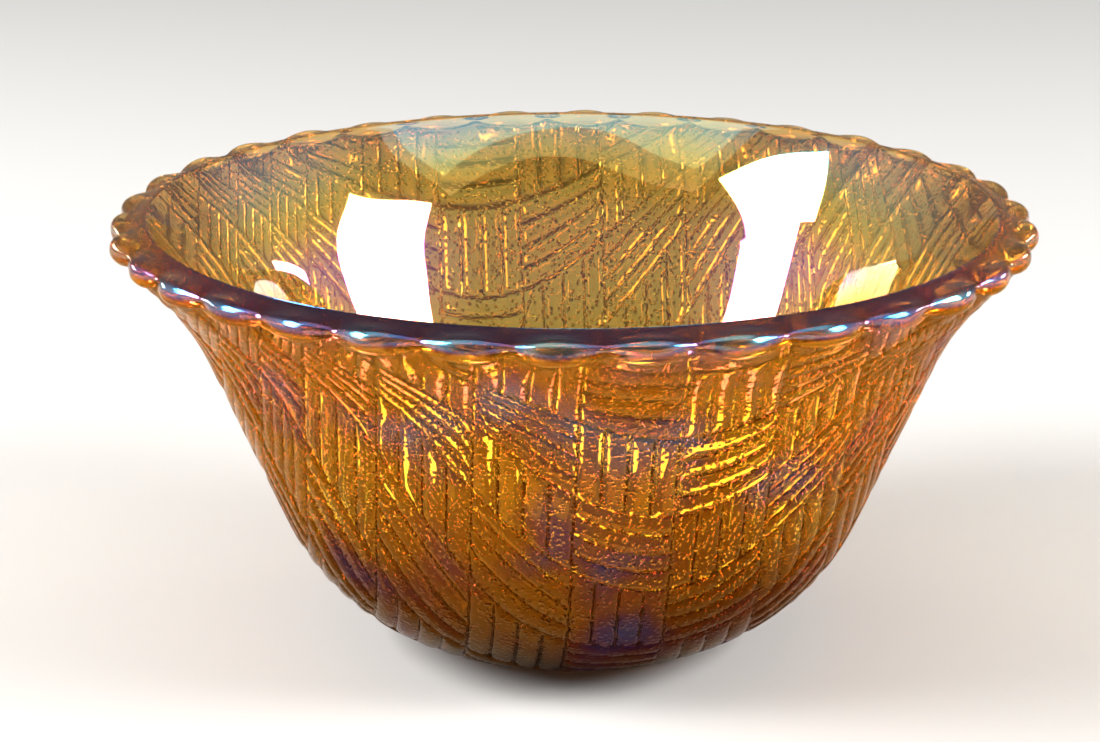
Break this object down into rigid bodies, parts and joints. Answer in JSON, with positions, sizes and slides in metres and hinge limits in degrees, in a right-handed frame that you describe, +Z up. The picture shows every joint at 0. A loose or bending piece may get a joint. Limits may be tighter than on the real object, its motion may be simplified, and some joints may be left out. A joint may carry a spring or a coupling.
{
  "type": "pressed glass bowl",
  "caption": "Small round pressed-glass bowl with a flared basket-weave wall, scalloped flat rim, thick floor and low foot ring.",
  "frame": {"origin": "centre of the foot ring, in the plane that it rests on", "axes": "+Z up the bowl's axis, towards its mouth; a scallop's crest points along +Y and along -Y"},
  "size_m": [0.1494, 0.15, 0.0716],
  "materials": {
    "foot_glass": "dark amber pressed glass, iridised",
    "floor_glass": "amber pressed glass, iridised",
    "wall_glass": "marigold amber pressed glass, iridised, stippled outside and smooth inside",
    "rim_glass": "amber pressed glass, iridised purple and blue, fire-polished"
  },
  "bodies": {
    "root": {"foot_ring": "foot_glass", "bowl_floor": "floor_glass", "woven_wall": "wall_glass", "scalloped_rim": "rim_glass"}
  },
  "joints": []
}
